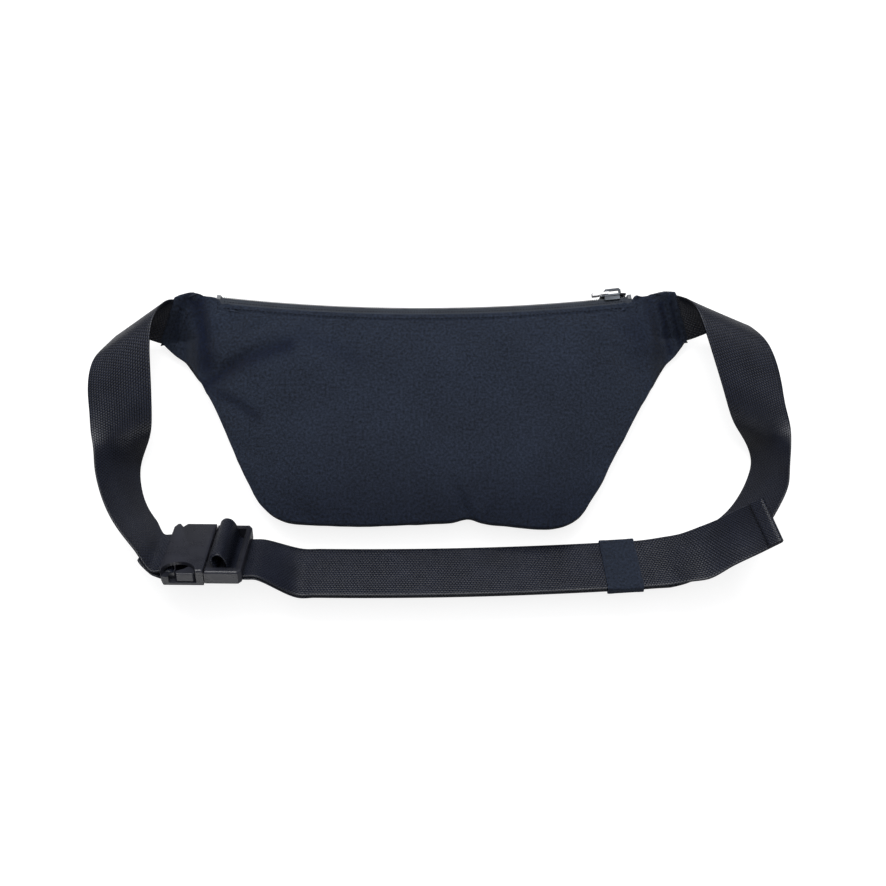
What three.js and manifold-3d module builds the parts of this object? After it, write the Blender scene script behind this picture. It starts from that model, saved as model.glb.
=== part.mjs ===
// Waist pack lying on its front face, its back panel upwards and its belt buckled below it.
// Millimetres, +Z up, +Y towards the zip, +X towards the wing that holds the adjustable belt.
import * as THREE from "three";
import { mergeVertices } from "three/addons/utils/BufferGeometryUtils.js";
import Module from "manifold-3d";

const wasm = await Module();
wasm.setup();

// ---------- Driving dimensions ----------
const WEB_WIDTH = 38; // belt webbing
const WEB_THICK = 1.4;
const STRAND_PITCH = 2.2; // centre to centre of two strands lying on each other

const BAG_DEPTH = 30; // front face to back face, lightly filled
const MID_Z = BAG_DEPTH / 2;
const FABRIC = 0.8;
const LINING = 0.5;
const FLAT_SHARE = 0.5; // share of each panel that is flat
const TAB_DROP = 11; // of a wing's lower corner below the mid layer
const TAB_RISE = 23.8; // from a wing's lower corner to its upper corner

const ZIP_X = -14; // the zip line is an arc about an upright axis
const ZIP_Y = 87.3;
const ZIP_RADIUS = 1200;
const ZIP_FROM = -147;
const ZIP_TO = 122;
const COIL_RADIUS = 1.05;
const COIL_OFFSET = 1.5; // of each row from the zip's mid plane
const SLIDER_X = 113;

const RUN_X = -50; // the doubled belt below the bag is an arc about an upright axis
const RUN_Y = -86.4;
const RUN_Z = 15;
const RUN_RADIUS = 2800;
const RUN_BANK = THREE.MathUtils.degToRad(38);
const KEEPER_X = 114;
const KEEPER_LENGTH = 22;

const BUCKLE_AT = new THREE.Vector3(-154, -74.3, 24);
const BUCKLE_BANK = THREE.MathUtils.degToRad(50);
const BUCKLE_YAW = THREE.MathUtils.degToRad(-0.5);
const BUCKLE_HALF_WIDTH = 24.5;
const BUCKLE_HALF_THICK = 6;
const SLOT_HALF_WIDTH = 20;

// ---------- Materials ----------
const shade = (color, roughness, metalness = 0) =>
  new THREE.MeshStandardMaterial({ color, roughness, metalness });
const shellFabric = shade(0x23262d, 0.62);
const liningFabric = shade(0x2b2d31, 0.8);
const webbing = shade(0x1b1b1e, 0.75);
const zipTape = shade(0x202226, 0.8);
const zipPlastic = shade(0x15161a, 0.45);
const sliderMetal = shade(0x2a2b2e, 0.35, 0.8);
const pullerMetal = shade(0x8e9094, 0.35, 0.8);
const bucklePlastic = shade(0x232427, 0.5);

const group = new THREE.Group();
function add(name, geometry, material) {
  const mesh = new THREE.Mesh(geometry, material);
  mesh.name = name;
  group.add(mesh);
  return mesh;
}

// ---------- Solids ----------
function toSolid(geometry) {
  const bare = geometry.clone();
  bare.deleteAttribute("normal");
  bare.deleteAttribute("uv");
  const merged = mergeVertices(bare, 1e-4);
  return new wasm.Manifold(
    new wasm.Mesh({
      numProp: 3,
      vertProperties: merged.attributes.position.array,
      triVerts: new Uint32Array(merged.index.array),
    }),
  );
}

function toGeometry(solid) {
  const mesh = solid.getMesh();
  return new THREE.BufferGeometry()
    .setAttribute("position", new THREE.BufferAttribute(mesh.vertProperties, 3))
    .setIndex(new THREE.BufferAttribute(mesh.triVerts, 1));
}

// A box given by its low and high corners.
function block(x0, x1, y0, y1, z0, z1) {
  const box = new THREE.BoxGeometry(x1 - x0, y1 - y0, z1 - z0);
  return toSolid(box.translate((x0 + x1) / 2, (y0 + y1) / 2, (z0 + z1) / 2));
}

// A plate: an outline in X and Y, z0 to z1, its rims rounded by bevel.
function plate(points, z0, z1, bevel = 0) {
  const shape = new THREE.Shape(points.map(([x, y]) => new THREE.Vector2(x, y)));
  const body = new THREE.ExtrudeGeometry(shape, {
    depth: z1 - z0 - 2 * bevel,
    bevelEnabled: bevel > 0,
    bevelThickness: bevel,
    bevelSize: bevel,
    bevelOffset: -bevel,
    bevelSegments: 2,
  });
  return toSolid(body.translate(0, 0, z0 + bevel));
}

// A rod with its axis along Z or Y.
function rod(radius, length, along, segments = 16) {
  const body = new THREE.CylinderGeometry(radius, radius, length, segments);
  if (along === "z") body.rotateX(Math.PI / 2);
  return toSolid(body);
}

// Joins closed loops of points, all of the same count, into one closed body with flat ends.
function loft(loops) {
  const count = loops[0].length;
  const last = (loops.length - 1) * count;
  const triangles = [];
  for (let i = 0; i < loops.length - 1; i++) {
    for (let j = 0; j < count; j++) {
      const a = i * count + j;
      const b = i * count + ((j + 1) % count);
      triangles.push(a, a + count, b, b, a + count, b + count);
    }
  }
  for (let j = 1; j < count - 1; j++) {
    triangles.push(0, j, j + 1);
    triangles.push(last, last + j + 1, last + j);
  }
  const geometry = new THREE.BufferGeometry().setFromPoints(loops.flat());
  return geometry.setIndex(triangles);
}

// ---------- Flat strips ----------
// A strip is a list of sections [inner edge point, outer edge point]; this fills in between them.
function fill(sections, perSpan = 4) {
  const edges = [0, 1].map((k) => {
    const points = sections.map((s) => s[k]);
    return new THREE.CatmullRomCurve3(points, false, "centripetal");
  });
  const count = (sections.length - 1) * perSpan;
  return Array.from({ length: count + 1 }, (_, i) =>
    edges.map((edge) => edge.getPoint(i / count)),
  );
}

// The strip's normal at section i.
function normalAt(sections, i) {
  const before = sections[Math.max(i - 1, 0)];
  const after = sections[Math.min(i + 1, sections.length - 1)];
  const along = new THREE.Vector3();
  along.add(after[0]).add(after[1]).sub(before[0]).sub(before[1]);
  return sections[i][0].clone().sub(sections[i][1]).cross(along).normalize();
}

// Moves a strip by distance along its own normal.
function offset(sections, distance) {
  return sections.map((section, i) => {
    const step = normalAt(sections, i).multiplyScalar(distance);
    return section.map((p) => p.clone().add(step));
  });
}

function stripSolid(sections, thickness) {
  const up = offset(sections, thickness / 2);
  const down = offset(sections, -thickness / 2);
  return loft(up.map((s, i) => [s[0], s[1], down[i][1], down[i][0]]));
}

const vec = (x, y, z) => new THREE.Vector3(x, y, z);
const section = ([a, b]) => [vec(...a), vec(...b)];

// ---------- Bag: outline and thickness ----------
// Each point is x, y and the distance between the two panels there.
const SIDES_AND_BOTTOM = [
  [-188.8, 67, 4.4],
  [-181, 59, 5],
  [-168, 49, 7],
  [-152, 24.5, 10],
  [-137, -7, 13],
  [-127, -28, 15],
  [-117, -44, 16],
  [-104, -53, 16],
  [-85, -55.8, 16],
  [-53, -57, 16],
  [-20, -55.8, 16],
  [15, -54, 16],
  [45, -57.2, 16],
  [70, -58.4, 16],
  [86, -52.5, 16],
  [97.5, -38, 15],
  [109, -17.5, 13],
  [132, 24.5, 10],
  [146, 48, 7],
  [156, 58, 5],
  [163.6, 69.1, 4.4],
];
const RIGHT_WING_END = [
  [159.3, 77.3, 4.4],
  [155, 85.4, 4.4],
  [150.7, 93.6, 4.4],
  [143, 95.8, 7],
  [136, 95.8, 10],
];
const LEFT_WING_END = [
  [-156, 95.4, 10],
  [-163.5, 95.8, 7],
  [-174.1, 90.2, 4.4],
  [-179, 82.5, 4.4],
  [-183.9, 74.7, 4.4],
];
const zipY = (x) => ZIP_Y + ZIP_RADIUS - Math.sqrt(ZIP_RADIUS ** 2 - (x - ZIP_X) ** 2);
const zipEdge = Array.from({ length: 12 }, (_, i) => {
  const x = 129.5 - (280 * i) / 11;
  return [x, zipY(x) - 3, 10.4];
});

function smoothOutline(points, count) {
  const curve = new THREE.CatmullRomCurve3(points.map((p) => vec(...p)), false, "centripetal");
  return curve.getPoints(count).map((p) => [p.x, p.y, p.z]);
}
const outline = [
  ...smoothOutline(SIDES_AND_BOTTOM, 34),
  ...RIGHT_WING_END,
  ...zipEdge,
  ...LEFT_WING_END,
];
const BELOW = 35; // the first points of the outline, round the sides and the bottom
const CENTRE = [-12, 15];

// Height of the layer midway between the panels: level, and tilted only at the wings' ends.
function midHeight(x, y) {
  const left = THREE.MathUtils.smoothstep(-x, 158, 174);
  const right = THREE.MathUtils.smoothstep(x, 135, 150.7);
  const tilt = (low, high) => TAB_RISE * Math.max(0, (y - low) / (high - low)) - TAB_DROP;
  return MID_Z + left * tilt(67, 90.2) + right * tilt(69.1, 93.6);
}

// Half the bag's depth at share s of the way from the centre to outline point i.
function halfDepth(s, gap, depth) {
  if (s <= FLAT_SHARE) return depth / 2;
  const turn = ((s - FLAT_SHARE) / (1 - FLAT_SHARE)) * (Math.PI / 2);
  return gap / 2 + (depth / 2 - gap / 2) * Math.cos(turn);
}

// A sheet inside or on the bag. side is 1 for the back and -1 for the front, drop is how far its
// outer face lies inside the panel's outer face, and reach gives the share s at which it ends.
function bagSheet(side, drop, thickness, shares, reach = () => 1) {
  const layers = [drop, drop + thickness].map((depthIn) =>
    shares.map((share) =>
      outline.map(([x, y, gap], i) => {
        const s = share * reach(i);
        const px = CENTRE[0] + (x - CENTRE[0]) * s;
        const py = CENTRE[1] + (y - CENTRE[1]) * s;
        const half = halfDepth(s, gap, BAG_DEPTH) - depthIn;
        return vec(px, py, midHeight(px, py) + side * half);
      }),
    ),
  );
  const count = outline.length;
  const rings = shares.length;
  const points = [];
  const triangles = [];
  layers.forEach((layer, k) => {
    const base = points.length;
    const centre = vec(...CENTRE, MID_Z + side * (BAG_DEPTH / 2 - drop - k * thickness));
    points.push(centre, ...layer.flat());
    for (let j = 0; j < count; j++) {
      const next = (j + 1) % count;
      const faces = [[base, base + 1 + j, base + 1 + next]];
      for (let r = 0; r < rings - 1; r++) {
        const a = base + 1 + r * count;
        faces.push([a + j, a + count + j, a + next], [a + next, a + count + j, a + count + next]);
      }
      faces.forEach((f) => triangles.push(...(k === 0 ? f : f.reverse())));
    }
  });
  const outerRim = 1 + (rings - 1) * count;
  const innerRim = outerRim + 1 + rings * count;
  for (let j = 0; j < count; j++) {
    const next = (j + 1) % count;
    triangles.push(outerRim + j, innerRim + j, outerRim + next);
    triangles.push(outerRim + next, innerRim + j, innerRim + next);
  }
  if (side < 0) triangles.reverse();
  return new THREE.BufferGeometry().setFromPoints(points).setIndex(triangles);
}

const reachFor = (inset) => (i) => {
  const [x, y] = outline[i];
  const distance = Math.hypot(x - CENTRE[0], y - CENTRE[1]);
  return 1 - inset(x, y) / distance;
};
const liningInset = (x, y) => (y < 30 ? 4 : x > -150 && x < 130 ? 14 : 48);
const PANEL_RINGS = [0.5, 0.64, 0.77, 0.88, 0.96, 1];
const LINING_RINGS = [0.5, 0.7, 0.87, 1];
add("back_panel", bagSheet(1, 0, FABRIC, PANEL_RINGS), shellFabric);
add("front_panel", bagSheet(-1, 0, FABRIC, PANEL_RINGS), shellFabric);
const liningReach = reachFor(liningInset);
add("lining_back", bagSheet(1, 2.2, LINING, LINING_RINGS, liningReach), liningFabric);
add("lining_front", bagSheet(-1, 2.2, LINING, LINING_RINGS, liningReach), liningFabric);
const pocketPlan = [
  [-90, 40],
  [-70, -20],
  [-60, -27],
  [38, -27],
  [48, -20],
  [62, 40],
];
add("slip_pocket", toGeometry(plate(pocketPlan, 25.9, 26.4)), liningFabric);

// The gusset stands between the panels, just inside their edges.
const wallInset = (p, q, r, inset) => {
  const along = new THREE.Vector2(r[0] - p[0], r[1] - p[1]).normalize();
  return [q[0] - along.y * inset, q[1] + along.x * inset];
};
const gussetLoops = [];
for (let i = 1; i < BELOW - 1; i++) {
  if (outline[i][2] < 8.5) continue; // the panels are sewn to each other near the wings
  const corners = [0.4, 0.4 + FABRIC].map((inset) =>
    wallInset(outline[i - 1], outline[i], outline[i + 1], inset),
  );
  const half = outline[i][2] / 2 - FABRIC - 0.45;
  const [outer, inner] = corners.map(([x, y]) =>
    [-half, half].map((h) => vec(x, y, midHeight(x, y) + h)),
  );
  gussetLoops.push([outer[1], inner[1], inner[0], outer[0]]);
}
add("gusset", loft(gussetLoops), shellFabric);

// ---------- Zip ----------
// Sweeps a section, given as [outward, height] points, along the zip's arc.
function alongZip(points, from, to, steps) {
  const wound = points.map(([outward, height]) => new THREE.Vector2(outward, height));
  if (THREE.ShapeUtils.area(wound) > 0) wound.reverse();
  const loops = Array.from({ length: steps + 1 }, (_, i) => {
    const x = from + ((to - from) * i) / steps;
    const angle = Math.asin((x - ZIP_X) / ZIP_RADIUS);
    return wound.map(({ x: outward, y: height }) => {
      const r = ZIP_RADIUS - outward;
      const y = ZIP_Y + ZIP_RADIUS - r * Math.cos(angle);
      return vec(ZIP_X + r * Math.sin(angle), y, MID_Z + height);
    });
  });
  return loft(loops);
}
const circle = (radius, count, outward, height) =>
  Array.from({ length: count }, (_, i) => {
    const turn = (i / count) * Math.PI * 2;
    return [outward + radius * Math.cos(turn), height + radius * Math.sin(turn)];
  });
for (const [name, side] of [["back", 1], ["front", -1]]) {
  const tape = [
    [-6.5, side * 4.7],
    [-1.6, side * 2.6],
    [-1.6, side * 3.2],
    [-6.5, side * 5.3],
  ];
  add(`zip_tape_${name}`, alongZip(tape, ZIP_FROM - 3, ZIP_TO + 3, 22), zipTape);
  const row = circle(COIL_RADIUS, 6, 0, side * COIL_OFFSET);
  add(`zip_coil_${name}`, alongZip(row, ZIP_FROM, ZIP_TO, 22), zipPlastic);
}
const stopSection = [[1.6, -3], [1.6, 3], [-1.2, 3], [-1.2, -3]];
add("zip_stop_left", alongZip(stopSection, ZIP_FROM - 2.8, ZIP_FROM - 0.3, 1), zipPlastic);
add("zip_stop_right", alongZip(stopSection, ZIP_TO + 0.3, ZIP_TO + 2.8, 1), zipPlastic);

// The slider is drawn with the zip along X, outwards along Y and the zip's mid plane at Z = 0.
const sliderAngle = Math.asin((SLIDER_X - ZIP_X) / ZIP_RADIUS);
function onZip(name, solid, material) {
  const mesh = add(name, toGeometry(solid), material);
  mesh.position.set(SLIDER_X, zipY(SLIDER_X), MID_Z);
  mesh.rotation.z = sliderAngle;
}
const lay = (solid) => solid.rotate([90, 0, 0]); // a plate drawn in X and Y stands in X and Z
const outerPlan = [
  [-8.5, -3.4],
  [-6, -4.4],
  [4, -4.8],
  [8.5, -3],
  [8.5, 3],
  [4, 4.8],
  [-6, 4.4],
  [-8.5, 3.4],
];
const innerPlan = outerPlan.map(([x, y]) => [x * 0.95, Math.sign(y) * 1.9]);
const crownPlan = [
  [-5.8, 2.8],
  [-5.8, 6],
  [-4.2, 7.6],
  [4.6, 7.6],
  [5.8, 6.4],
  [5.8, 2.8],
];
const sliderBody = lay(plate(outerPlan, -3.1, -1.6, 0.4))
  .add(lay(plate(innerPlan, 2.2, 3.4)))
  .add(block(-6, 7, -2.8, 2, -0.2, 0.2))
  .add(block(-6, 4, -0.8, 2, 3.2, 4.3))
  .add(block(-6, 4, -0.8, 2, -4.3, -3.2))
  .add(plate(crownPlan, -0.9, 0.9, 0.3).subtract(block(-4.3, 4.3, 3.1, 6, -2, 2)));
onZip("zip_slider", sliderBody, sliderMetal);

// The puller hangs on the crown by a cross-bar and lies along the zip.
const PULL_X = -3.2;
const PULL_Y = 4.6;
const puller = rod(0.75, 5.6, "z", 12)
  .translate([PULL_X, PULL_Y, 0])
  .add(block(PULL_X - 6.4, PULL_X, PULL_Y - 0.75, PULL_Y + 0.75, 1.5, 2.8))
  .add(block(PULL_X - 6.4, PULL_X, PULL_Y - 0.75, PULL_Y + 0.75, -2.8, -1.5))
  .add(block(PULL_X - 10.2, PULL_X - 5.4, PULL_Y - 1.1, PULL_Y + 1.1, -2.8, 2.8));
onZip("zip_puller", puller, pullerMetal);

// ---------- Buckle ----------
// Drawn with the belt along X, the buckle's face towards +Z and its low edge towards +Y.
const buckleTurn = new THREE.Euler(-BUCKLE_BANK, 0, BUCKLE_YAW, "ZYX");
function onBuckle(name, solid, material) {
  const mesh = add(name, toGeometry(solid), material);
  mesh.position.copy(BUCKLE_AT);
  mesh.rotation.copy(buckleTurn);
}
const W = BUCKLE_HALF_WIDTH;
const T = BUCKLE_HALF_THICK;
const S = SLOT_HALF_WIDTH;
const socketPlan = [
  [-20.5, -21],
  [-18.5, -W],
  [6.8, -W],
  [6.8, W],
  [-12.2, W],
  [-14.4, W - 3],
  [-16.6, W],
  [-18.5, W],
  [-20.5, 21],
];
const arch = rod(10.8, 8, "z", 32).scale([1, 0.85, 1]).translate([-8.5, -W - 0.4, 5]);
const window = block(-14.8, 2.2, -40, 40, -3.6, 3.6).subtract(block(-18, 3, -20.6, 20.6, -9, 9));
const socket = plate(socketPlan, -T, T, 1.3)
  .subtract(block(-30, -12.6, -S, S, -9, 3.8))
  .add(block(-19.9, -16.6, -S - 1, S + 1, -4.2, -1))
  .subtract(block(-11.9, 20, -21.5, 21.5, -3.6, 3.6))
  .subtract(window)
  .subtract(arch);
onBuckle("buckle_female", socket, bucklePlastic);

const framePlan = [
  [7.3, -W],
  [28, -W],
  [30, -22],
  [30, 22],
  [28, W],
  [7.3, W],
];
const guidePlan = [
  [9, -4],
  [9, 4],
  [-4, 4],
  [-8, 2],
  [-8, -2],
  [-4, -4],
];
const frame = plate(framePlan, -4.5, 5, 1.2)
  .subtract(block(11.6, 26.6, -S, S, -9, 9))
  .subtract(block(11, 36, -S, S, -9, -1.6))
  .subtract(block(0, 12, -S, S, 3.4, 9))
  .add(block(15.4, 19.2, -S - 1, S + 1, -1.4, 2.2))
  .add(plate(guidePlan, -2.5, 2.5, 0.6));
onBuckle("buckle_male", frame, bucklePlastic);

const prongPlan = [
  [6.9, 11.5],
  [6.9, 16],
  [1.9, 17],
  [1.4, 22.8],
  [0.2, 23.9],
  [-9.6, 23.9],
  [-10.6, 22.6],
  [-10.6, 20.8],
  [-6, 18.6],
  [-2, 14.2],
];
for (const [name, side] of [["upper", 1], ["lower", -1]]) {
  const plan = prongPlan.map(([x, y]) => [x, side * y]);
  if (side > 0) plan.reverse();
  onBuckle(`buckle_prong_${name}`, plate(plan, -3.1, 3.1, 0.5), bucklePlastic);
}

// A belt section at a point of the buckle's X and Z.
function buckleSection([x, z]) {
  return [WEB_WIDTH / 2, -WEB_WIDTH / 2].map((y) =>
    vec(x, y, z).applyEuler(buckleTurn).add(BUCKLE_AT),
  );
}

// ---------- Short strap ----------
// From inside the left wing, rolled over to head down, and round the bar of the buckle's socket.
const LEFT_ROLL = [
  [[-168, 88.7, 23.6], [-181, 67, 6]],
  [[-171.4, 89.5, 26.4], [-185, 67, 5]],
  [[-174.1, 90.2, 27.8], [-188.8, 67, 4]],
  [[-177, 89.6, 31.5], [-212, 72, 14]],
  [[-180.5, 85, 37], [-216.5, 64, 23]],
  [[-182.5, 79, 42], [-219, 57, 31]],
  [[-184.5, 71, 45], [-223, 49, 37]],
  [[-185.5, 57, 45], [-225, 39, 39]],
  [[-185, 40, 42], [-225.5, 27, 38]],
  [[-185, 22, 37], [-224.5, 15, 36]],
  [[-187, 4, 27], [-223.5, 2, 35]],
  [[-195, -6, 11], [-220.5, -9, 37]],
  [[-200, -18, 5], [-219, -23, 37]],
  [[-198, -34, 4], [-213, -42, 37]],
  [[-193, -45, 5], [-204.5, -57, 38]],
  [[-187, -52.5, 7], [-191.5, -72.5, 39]],
].map(section);
const barPath = [
  [-27, 0.8],
  [-22, 0.5],
  [-17, 0.4],
  [-14.4, -0.6],
  [-13.6, -2.8],
  [-14.4, -4.9],
  [-17, -5.7],
  [-21, -4.8],
  [-26, -2.4],
].map(buckleSection);
const doubledBack = offset(LEFT_ROLL, STRAND_PITCH).slice(-2).reverse();
const shortStrap = [...LEFT_ROLL, ...barPath, ...doubledBack];
add("strap_short", stripSolid(fill(shortStrap), WEB_THICK), webbing);

// ---------- Adjustable strap ----------
// A section of the doubled run at angle turn, lift above its mid layer.
function runSection(x, lift) {
  const turn = Math.asin((x - RUN_X) / RUN_RADIUS);
  return [-WEB_WIDTH / 2, WEB_WIDTH / 2].map((across) => {
    const out = across * Math.cos(RUN_BANK) - lift * Math.sin(RUN_BANK);
    const r = RUN_RADIUS + out;
    const z = RUN_Z + across * Math.sin(RUN_BANK) + lift * Math.cos(RUN_BANK);
    return vec(RUN_X + r * Math.sin(turn), RUN_Y + RUN_RADIUS - r * Math.cos(turn), z);
  });
}
const RIGHT_ROLL = [
  [[145, 92, 23.6], [156.5, 69.1, 6]],
  [[148, 93, 26.4], [160, 69.1, 5]],
  [[150.7, 93.6, 27.8], [163.6, 69.1, 4]],
  [[155.8, 91, 31.3], [190, 77, 14]],
  [[158.5, 87, 37], [198, 75, 23]],
  [[161, 82, 42], [203, 68, 31]],
  [[163, 75, 45], [207.5, 60, 37]],
  [[166.5, 64, 45], [211.5, 49, 39]],
  [[172, 47, 42], [215, 35, 38]],
  [[178.5, 28, 37], [217, 20, 37]],
  [[185.5, 11, 28], [220.5, 7, 35]],
  [[195, 3, 15], [220, -2, 37]],
  [[202, -5, 6], [219, -10, 38]],
  [[204, -14, 4], [218, -21, 37]],
  [[201, -24, 4], [217, -32, 37]],
  [[196, -34, 4], [210, -46, 37]],
  [[188, -45, 3.5], [201, -60, 36]],
  [[177, -54, 3], [188, -73, 34]],
  [[163, -61, 2.5], [169, -85, 31]],
  [[148, -66, 2.2], [151, -94, 28]],
].map(section);
const RUN_STEPS = [130, 100, 70, 40, 10, -20, -50, -80];
const standing = RUN_STEPS.map((x) => runSection(x, -STRAND_PITCH / 2));
const ladderPath = [
  [38, -5.2],
  [32, -4.9],
  [25, -4.8],
  [18, -4.6],
  [14.6, -3.6],
  [13.5, -0.5],
  [13.2, 4],
  [11.4, 8.3],
  [11.8, 11.6],
  [14.4, 13.7],
  [17.6, 13.1],
  [19.8, 10],
  [20.9, 5.5],
  [21.2, 1.5],
  [22.4, -1.2],
  [25.5, -2.6],
  [31, -2.8],
  [38, -3],
].map(buckleSection);
const TAIL_END = [
  [[143, -63, 6], [142, -94, 29]],
  [[154, -61, 9], [154, -92, 33]],
  [[165, -57, 13], [166, -90, 36]],
  [[177, -52, 19], [180, -82, 40.5]],
  [[188, -46, 27], [194, -75, 46]],
  [[200, -41, 37], [206, -68.5, 53]],
].map(section);
const tail = [...RUN_STEPS].reverse().map((x) => runSection(x, STRAND_PITCH / 2));
const longStrap = [...RIGHT_ROLL, ...standing, ...ladderPath, ...tail, ...TAIL_END];
add("strap_long", stripSolid(fill(longStrap), WEB_THICK), webbing);

// The keeper is a flat loop round both strands.
const keeperSteps = [0, 1, 2, 3].map((i) => KEEPER_X + KEEPER_LENGTH * (i / 3 - 0.5));
function keeperLoop(x, margin) {
  const half = STRAND_PITCH / 2 + WEB_THICK / 2 + margin;
  const widen = 1 + (2 * margin) / WEB_WIDTH;
  const [low, high] = [-half, half].map((lift) => {
    const [a, b] = runSection(x, lift);
    const middle = a.clone().add(b).divideScalar(2);
    return [a, b].map((p) => p.clone().sub(middle).multiplyScalar(widen).add(middle));
  });
  return [high[0], low[0], low[1], high[1]];
}
const keeper = toSolid(loft(keeperSteps.map((x) => keeperLoop(x, 1.2))));
const keeperHollow = [KEEPER_X - KEEPER_LENGTH, ...keeperSteps, KEEPER_X + KEEPER_LENGTH];
const hollow = toSolid(loft(keeperHollow.map((x) => keeperLoop(x, 0.5))));
add("strap_keeper", toGeometry(keeper.subtract(hollow)), shellFabric);

export default group;
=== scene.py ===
"""A waist pack lying on its front face, its back panel upwards and its belt buckled below it.

Points given here are in millimetres, in the part's own frame: +Y towards the zip and +X towards
the wing that holds the adjustable belt. Meshes are made from them in metres.
"""

import math

import bpy
import numpy as np
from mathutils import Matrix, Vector
from mathutils.bvhtree import BVHTree


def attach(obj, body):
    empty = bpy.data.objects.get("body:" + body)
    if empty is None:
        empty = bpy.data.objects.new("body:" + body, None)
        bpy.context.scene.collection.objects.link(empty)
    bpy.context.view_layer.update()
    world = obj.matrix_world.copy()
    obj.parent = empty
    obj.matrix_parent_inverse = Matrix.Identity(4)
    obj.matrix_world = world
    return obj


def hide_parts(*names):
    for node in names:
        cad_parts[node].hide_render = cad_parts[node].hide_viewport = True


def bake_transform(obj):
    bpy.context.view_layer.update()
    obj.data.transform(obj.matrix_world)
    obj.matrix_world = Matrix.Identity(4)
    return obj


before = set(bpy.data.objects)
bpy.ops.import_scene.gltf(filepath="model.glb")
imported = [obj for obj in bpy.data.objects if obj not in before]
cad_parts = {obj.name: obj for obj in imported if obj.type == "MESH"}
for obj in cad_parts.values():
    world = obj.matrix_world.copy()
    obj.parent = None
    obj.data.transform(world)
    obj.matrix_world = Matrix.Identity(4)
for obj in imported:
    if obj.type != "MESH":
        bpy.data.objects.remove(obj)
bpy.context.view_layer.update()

MM = 0.001
FLOOR_HALF = 12.0  # metres, so that low views still end in floor


def add_object(name, data):
    made = bpy.data.objects.new(name, data)
    bpy.context.scene.collection.objects.link(made)
    return made


# ---------- Camera, light and floor ----------
def make_camera():
    """The view from above, tipped a little towards the belt."""
    data = bpy.data.cameras.new("camera")
    data.lens = 42.66
    data.sensor_width = 36
    data.clip_start = 0.01
    camera = add_object("camera", data)
    elevation = math.radians(82)
    distance = 0.7
    camera.location = (0, -distance * math.cos(elevation), distance * math.sin(elevation))
    camera.rotation_euler = (math.pi / 2 - elevation, 0, 0)
    bpy.context.scene.camera = camera


def add_area_light(name, place, aim, size, power):
    data = bpy.data.lights.new(name, "AREA")
    data.shape = "RECTANGLE"
    data.size, data.size_y = size
    data.energy = power
    light = add_object(name, data)
    light.location = place
    towards = np.array(aim, float) - np.array(place, float)
    light.rotation_euler = Vector(towards).to_track_quat("-Z", "Y").to_euler()


def floor_paper():
    """White paper lit from below, as on a light table; the glow itself lights nothing."""
    n = Nodes("floor_white")
    glow = n.times(n.add("ShaderNodeLightPath").outputs["Is Camera Ray"], 0.84)
    n.plug(n.shader.inputs["Emission Strength"], glow)
    n.shader.inputs["Emission Color"].default_value = (1, 1, 1, 1)
    n.shader.inputs["Base Color"].default_value = (0.28, 0.28, 0.285, 1)
    n.shader.inputs["Roughness"].default_value = 0.9
    n.shader.inputs["Specular IOR Level"].default_value = 0.0
    return n.material


def make_studio():
    scene = bpy.context.scene
    scene.view_settings.view_transform = "Standard"
    world = bpy.data.worlds.new("studio")
    world.use_nodes = True
    sky = world.node_tree.nodes["Background"].inputs
    sky["Color"].default_value = (0.97, 0.98, 1, 1)
    sky["Strength"].default_value = 0.12
    scene.world = world
    add_area_light("softbox_back", (-0.05, 0.85, 1.1), (0, 0, 0), (1.2, 0.6), 22.0)
    add_area_light("softbox_top", (0.0, 0.36, 1.3), (0, 0, 0), (1.3, 0.9), 11.0)
    add_area_light("softbox_low", (0.0, -1.3, 0.42), (0, 0, 0.02), (1.6, 0.25), 4.5)
    corners = [(x * FLOOR_HALF, y * FLOOR_HALF, 0) for x, y in ((-1, -1), (1, -1), (1, 1), (-1, 1))]
    mesh = bpy.data.meshes.new("floor")
    mesh.from_pydata(corners, [], [(0, 1, 2, 3)])
    mesh.materials.append(floor_paper())
    floor = add_object("floor", mesh)
    floor.location.z = -0.0002


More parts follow.
